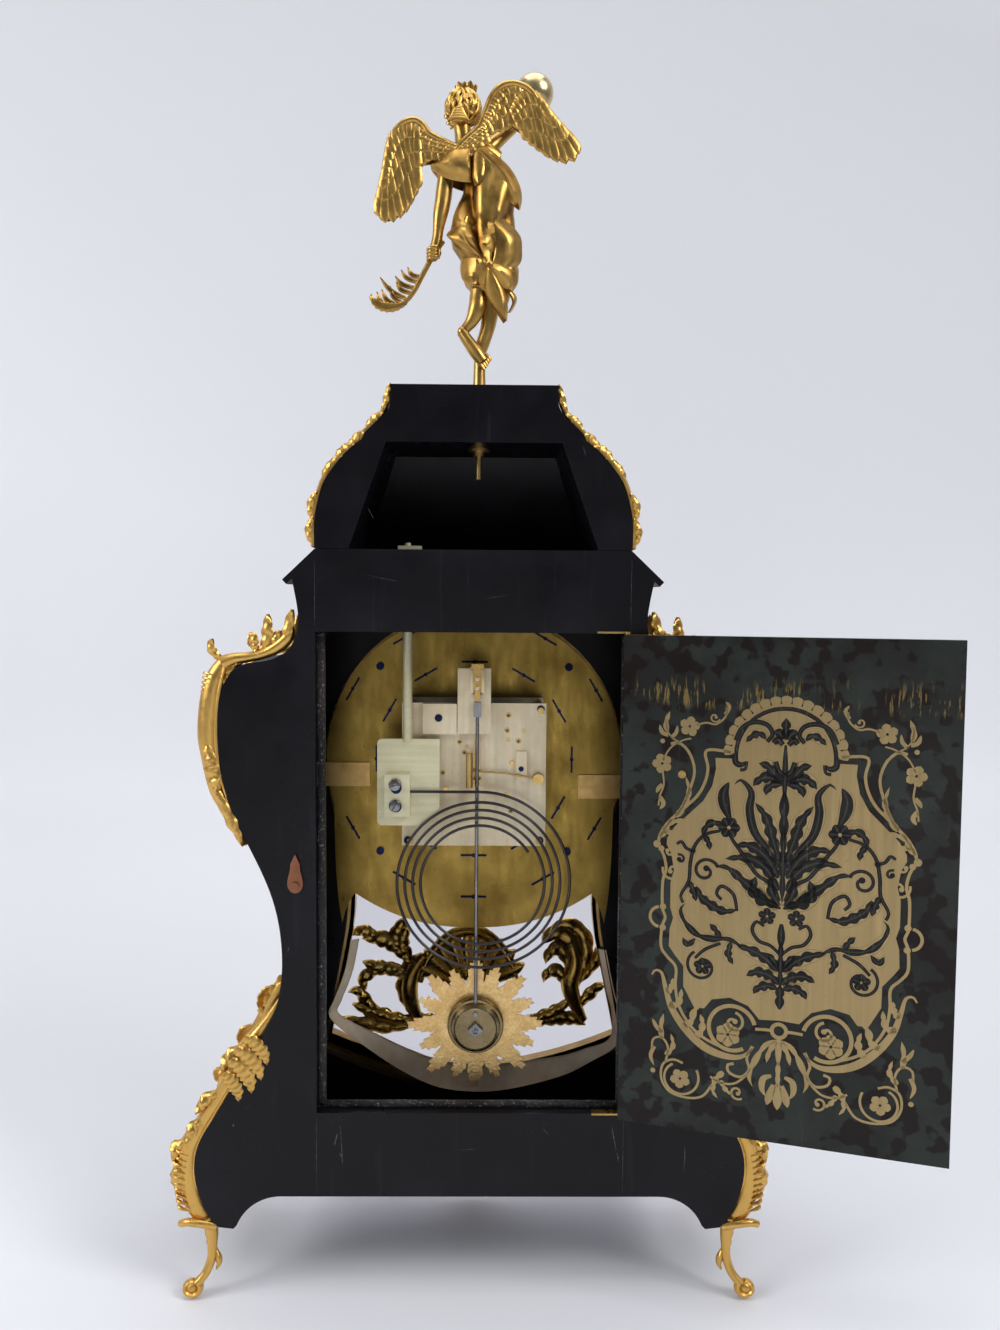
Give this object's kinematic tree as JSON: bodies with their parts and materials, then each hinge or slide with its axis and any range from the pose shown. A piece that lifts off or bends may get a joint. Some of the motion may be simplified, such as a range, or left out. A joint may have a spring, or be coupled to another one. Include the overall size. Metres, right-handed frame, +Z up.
{
  "type": "bracket clock",
  "caption": "Waisted bracket clock with a lift-off dome and figure, open rear door, striking movement, wire gong and sunburst pendulum.",
  "frame": {"origin": "centre of the case's width on the floor plane under the feet, level with the middle of its depth", "axes": "+Z up, the dial faces -Y and the rear door is at +Y, +X is to the right of someone looking at the dial"},
  "size_m": [0.6127, 0.2522, 1.0236],
  "materials": {
    "ebonised_wood": "aged satin varnish",
    "marquetry": "polished, brass inlaid in dark shell",
    "gilt_bronze": "worn matte gilding",
    "brass": "brushed, lightly tarnished",
    "blued_steel": "heat blued",
    "steel": "ground",
    "glass": "clear, polished"
  },
  "bodies": {
    "case": {"back_stile_right": "ebonised_wood", "back_stile_left": "ebonised_wood", "back_top_rail": "ebonised_wood", "back_bottom_rail": "ebonised_wood", "side_wall_right": "ebonised_wood", "side_wall_left": "ebonised_wood", "case_top_board": "ebonised_wood", "case_floor_board": "ebonised_wood", "front_board": "ebonised_wood", "cornice_boards": "ebonised_wood", "shoulder_mounts": "gilt_bronze", "foot_mounts": "gilt_bronze", "apron_mount": "gilt_bronze", "case_brasses": "brass", "back_plate": "brass", "front_plate": "brass", "plate_pillars": "brass", "movement_screws": "blued_steel", "back_cock": "brass", "plate_cocks": "brass", "suspension_spring": "steel", "gong_stand": "brass", "gong_block": "steel", "gong_coil": "steel", "dial_plate": "brass", "dial_straps": "brass", "dial_cartouches": "gilt_bronze", "dial_fixings": "blued_steel"},
    "turn_button": {"turn_button": "brass"},
    "rear_door": {"rear_door_panel": "marquetry", "rear_door_brasses": "brass"},
    "front_door": {"front_door_frame": "gilt_bronze", "front_door_glass": "glass", "front_door_ornament": "gilt_bronze", "front_door_knuckles": "brass"},
    "dome": {"dome_back_frame": "ebonised_wood", "dome_shell": "ebonised_wood", "dome_mounts": "gilt_bronze", "figure": "gilt_bronze", "figure_wings": "gilt_bronze", "palm_branch": "gilt_bronze", "figure_globe": "gilt_bronze", "figure_stud": "gilt_bronze"},
    "pendulum": {"pendulum_rod": "steel", "pendulum_bob": "gilt_bronze", "pendulum_sunburst": "gilt_bronze"},
    "pallets": {"pallet_anchor": "steel"},
    "hammer": {"hammer": "steel"},
    "centre": {"centre_arbor": "brass", "minute_hand": "blued_steel"},
    "going_barrel": {"going_barrel": "brass"},
    "third_wheel": {"third_wheel": "brass"},
    "escape_wheel": {"escape_wheel": "brass"},
    "minute_wheel": {"minute_wheel": "brass"},
    "hour": {"hour_wheel": "brass", "hour_hand": "blued_steel"},
    "pin_wheel": {"pin_wheel": "brass"},
    "strike_barrel": {"strike_barrel": "brass"},
    "warning_wheel": {"warning_wheel": "brass"},
    "fly": {"fly": "brass"}
  },
  "joints": [
    {"name": "rear_door_hinge", "type": "hinge", "parent": "case", "child": "rear_door", "pos_m": [-0.1253, 0.076, 0.36], "axis": [0, 0, 1], "range_deg": [-162.8, 10]},
    {"name": "front_door_hinge", "type": "hinge", "parent": "case", "child": "front_door", "pos_m": [-0.158, -0.0786, 0.34], "axis": [0, 0, -1], "range_deg": [0, 100]},
    {"name": "turn_button_turn", "type": "hinge", "parent": "case", "child": "turn_button", "pos_m": [0.1441, 0.075, 0.3515], "axis": [0, 1, 0], "range_deg": [-90, 90]},
    {"name": "dome_lift", "type": "slide", "parent": "case", "child": "dome", "axis": [0, 0, 1], "range_m": [0, 0.05]},
    {"name": "pendulum_swing", "type": "hinge", "parent": "case", "child": "pendulum", "pos_m": [-0.0034, 0.0355, 0.5035], "axis": [0, 1, 0], "range_deg": [-3, 3]},
    {"name": "pallet_rock", "type": "hinge", "parent": "case", "child": "pallets", "pos_m": [-0.0034, 0, 0.49129], "axis": [0, 1, 0], "range_deg": [-3.6, 3.6]},
    {"name": "hammer_lift", "type": "hinge", "parent": "case", "child": "hammer", "pos_m": [-0.0559, 0, 0.4327], "axis": [0, -1, 0], "range_deg": [0, 10]},
    {"name": "centre_spin", "type": "hinge", "parent": "case", "child": "centre", "pos_m": [0, 0, 0.439], "axis": [0, 1, 0], "continuous": true},
    {"name": "going_barrel_spin", "type": "hinge", "parent": "case", "child": "going_barrel", "pos_m": [0.02322, 0, 0.42274], "axis": [0, 1, 0], "continuous": true},
    {"name": "third_wheel_spin", "type": "hinge", "parent": "case", "child": "third_wheel", "pos_m": [0.00559, 0, 0.45986], "axis": [0, 1, 0], "continuous": true},
    {"name": "escape_wheel_spin", "type": "hinge", "parent": "case", "child": "escape_wheel", "pos_m": [-0.0034, 0, 0.47429], "axis": [0, 1, 0], "continuous": true},
    {"name": "minute_wheel_spin", "type": "hinge", "parent": "case", "child": "minute_wheel", "pos_m": [-0.01804, 0, 0.43243], "axis": [0, 1, 0], "continuous": true},
    {"name": "hour_spin", "type": "hinge", "parent": "case", "child": "hour", "pos_m": [0, 0, 0.439], "axis": [0, 1, 0], "continuous": true},
    {"name": "pin_wheel_spin", "type": "hinge", "parent": "case", "child": "pin_wheel", "pos_m": [-0.03342, 0, 0.44572], "axis": [0, 1, 0], "continuous": true},
    {"name": "strike_barrel_spin", "type": "hinge", "parent": "case", "child": "strike_barrel", "pos_m": [-0.0285, 0, 0.4178], "axis": [0, 1, 0], "continuous": true},
    {"name": "warning_wheel_spin", "type": "hinge", "parent": "case", "child": "warning_wheel", "pos_m": [-0.02988, 0, 0.46581], "axis": [0, 1, 0], "continuous": true},
    {"name": "fly_spin", "type": "hinge", "parent": "case", "child": "fly", "pos_m": [-0.0433, 0, 0.47356], "axis": [0, 1, 0], "continuous": true}
  ],
  "couplings": [
    {"joint": "pallet_rock", "follows": "pendulum_swing", "ratio": 1.1994},
    {"joint": "going_barrel_spin", "follows": "centre_spin", "ratio": -0.125},
    {"joint": "third_wheel_spin", "follows": "centre_spin", "ratio": -8},
    {"joint": "escape_wheel_spin", "follows": "centre_spin", "ratio": 60},
    {"joint": "minute_wheel_spin", "follows": "centre_spin", "ratio": -0.33333},
    {"joint": "hour_spin", "follows": "centre_spin", "ratio": 0.083333},
    {"joint": "strike_barrel_spin", "follows": "pin_wheel_spin", "ratio": -0.125},
    {"joint": "warning_wheel_spin", "follows": "pin_wheel_spin", "ratio": -7.5},
    {"joint": "fly_spin", "follows": "pin_wheel_spin", "ratio": 50.625}
  ]
}
